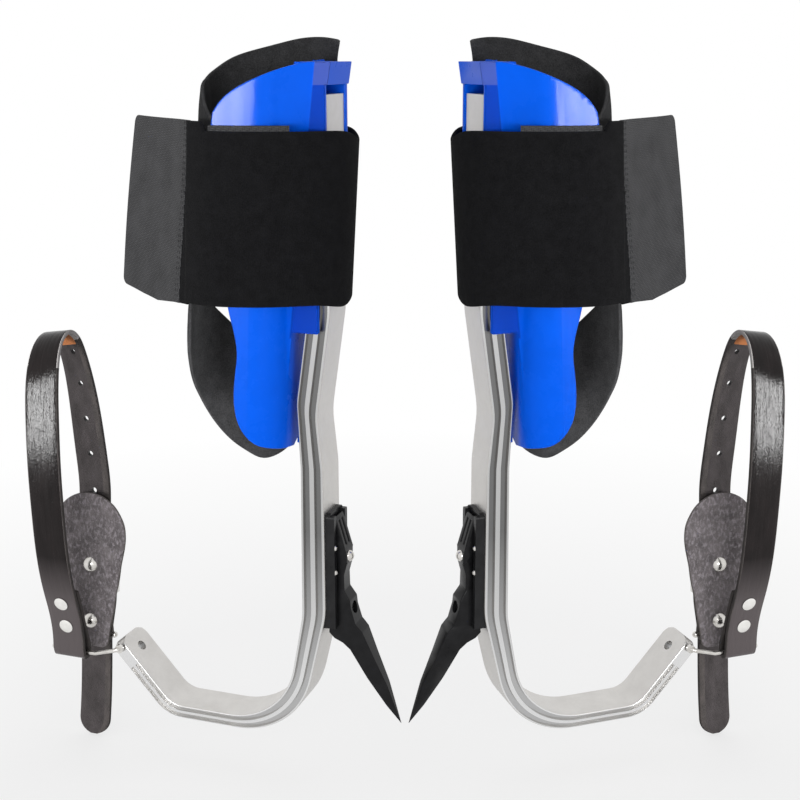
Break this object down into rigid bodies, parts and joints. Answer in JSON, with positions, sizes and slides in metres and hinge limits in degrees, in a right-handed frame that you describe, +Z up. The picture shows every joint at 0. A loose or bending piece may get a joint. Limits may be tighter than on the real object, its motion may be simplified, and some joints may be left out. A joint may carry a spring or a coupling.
{
  "type": "tree climbing spikes",
  "caption": "A pair of aluminium tree climbing spikes with blue calf cuffs, black pads, wide hook-and-loop calf straps, bolted gaffs and buckled leather foot straps",
  "frame": {"origin": "midway between the two boots, on the plane of the boot treads", "axes": "+X from the left climber to the right one, +Y away from the viewer, +Z up the shanks"},
  "size_m": [0.5398, 0.1372, 0.5307],
  "materials": {
    "bare_aluminium": "brushed",
    "blue_plastic": "glossy",
    "black_foam": "cloth faced foam",
    "black_webbing": "woven",
    "grey_webbing": "woven",
    "loop_tape": "brushed pile",
    "hook_tape": "hooked tape",
    "black_leather": "waxed",
    "dark_suede": "suede",
    "black_steel": "satin black",
    "bright_steel": "nickel plated"
  },
  "bodies": {
    "left_frame": {"left_shank": "bare_aluminium", "left_gaff_base": "black_steel", "left_gaff": "black_steel", "left_gaff_upper_bolt": "bright_steel", "left_gaff_lower_screw": "black_steel", "left_base_screw_upper": "bright_steel", "left_base_screw_lower": "bright_steel"},
    "left_cuff": {"left_cuff_shell": "blue_plastic", "left_cuff_pad": "black_foam", "left_clamp_screw_upper": "bright_steel", "left_clamp_screw_lower": "bright_steel", "left_calf_band": "black_webbing", "left_loop_panel": "loop_tape", "left_band_rivet_upper": "black_steel", "left_band_rivet_lower": "black_steel"},
    "left_flap": {"left_calf_flap": "grey_webbing", "left_hook_panel": "hook_tape"},
    "left_strap": {"left_strap_hook": "bright_steel", "left_foot_strap": "black_leather", "left_strap_rivet_upper": "bright_steel", "left_strap_rivet_lower": "bright_steel", "left_buckle_strap": "black_leather", "left_ankle_pad": "dark_suede", "left_pad_rivet_upper": "bright_steel", "left_pad_rivet_lower": "bright_steel", "left_buckle_frame": "bright_steel", "left_strap_keeper": "bright_steel"},
    "left_prong": {"left_buckle_prong": "bright_steel"},
    "left_roller": {"left_buckle_roller": "bright_steel"},
    "right_frame": {"right_shank": "bare_aluminium", "right_gaff_base": "black_steel", "right_gaff": "black_steel", "right_gaff_upper_bolt": "bright_steel", "right_gaff_lower_screw": "black_steel", "right_base_screw_upper": "bright_steel", "right_base_screw_lower": "bright_steel"},
    "right_cuff": {"right_cuff_shell": "blue_plastic", "right_cuff_pad": "black_foam", "right_clamp_screw_upper": "bright_steel", "right_clamp_screw_lower": "bright_steel", "right_calf_band": "black_webbing", "right_loop_panel": "loop_tape", "right_band_rivet_upper": "black_steel", "right_band_rivet_lower": "black_steel"},
    "right_flap": {"right_calf_flap": "grey_webbing", "right_hook_panel": "hook_tape"},
    "right_strap": {"right_strap_hook": "bright_steel", "right_foot_strap": "black_leather", "right_strap_rivet_upper": "bright_steel", "right_strap_rivet_lower": "bright_steel", "right_buckle_strap": "black_leather", "right_ankle_pad": "dark_suede", "right_pad_rivet_upper": "bright_steel", "right_pad_rivet_lower": "bright_steel", "right_buckle_frame": "bright_steel", "right_strap_keeper": "bright_steel"},
    "right_prong": {"right_buckle_prong": "bright_steel"},
    "right_roller": {"right_buckle_roller": "bright_steel"}
  },
  "joints": [
    {"name": "left_cuff_slide", "type": "slide", "parent": "left_frame", "child": "left_cuff", "axis": [0, 0, 1], "range_m": [0, 0.04]},
    {"name": "left_flap_hinge", "type": "hinge", "parent": "left_cuff", "child": "left_flap", "pos_m": [-0.13843, -0.04428, 0.369], "axis": [0.0568, -0.019, 0.9982], "range_deg": [-20, 70]},
    {"name": "left_strap_hinge", "type": "hinge", "parent": "left_frame", "child": "left_strap", "pos_m": [-0.20789, 0.02425, 0.03951], "axis": [0.3173, 0.9483, 0], "range_deg": [-45, 12]},
    {"name": "left_prong_hinge", "type": "hinge", "parent": "left_strap", "child": "left_prong", "pos_m": [-0.23798, 0.05731, 0.104], "axis": [-0.9483, 0.3173, 0], "range_deg": [0, 6]},
    {"name": "left_roller_spin", "type": "hinge", "parent": "left_strap", "child": "left_roller", "pos_m": [-0.2355, 0.0647, 0.128], "axis": [0.9483, -0.3173, 0], "continuous": true},
    {"name": "right_cuff_slide", "type": "slide", "parent": "right_frame", "child": "right_cuff", "axis": [0, 0, 1], "range_m": [0, 0.04]},
    {"name": "right_flap_hinge", "type": "hinge", "parent": "right_cuff", "child": "right_flap", "pos_m": [0.13843, -0.04428, 0.369], "axis": [0.0568, 0.019, -0.9982], "range_deg": [-20, 70]},
    {"name": "right_strap_hinge", "type": "hinge", "parent": "right_frame", "child": "right_strap", "pos_m": [0.20789, 0.02425, 0.03951], "axis": [0.3173, -0.9483, 0], "range_deg": [-45, 12]},
    {"name": "right_prong_hinge", "type": "hinge", "parent": "right_strap", "child": "right_prong", "pos_m": [0.23798, 0.05731, 0.104], "axis": [-0.9483, -0.3173, 0], "range_deg": [0, 6]},
    {"name": "right_roller_spin", "type": "hinge", "parent": "right_strap", "child": "right_roller", "pos_m": [0.2355, 0.0647, 0.128], "axis": [0.9483, 0.3173, 0], "continuous": true},
    {"name": "pair_spacing", "type": "slide", "parent": "left_frame", "child": "right_frame", "axis": [1, 0, 0], "range_m": [0, 0.3]}
  ]
}
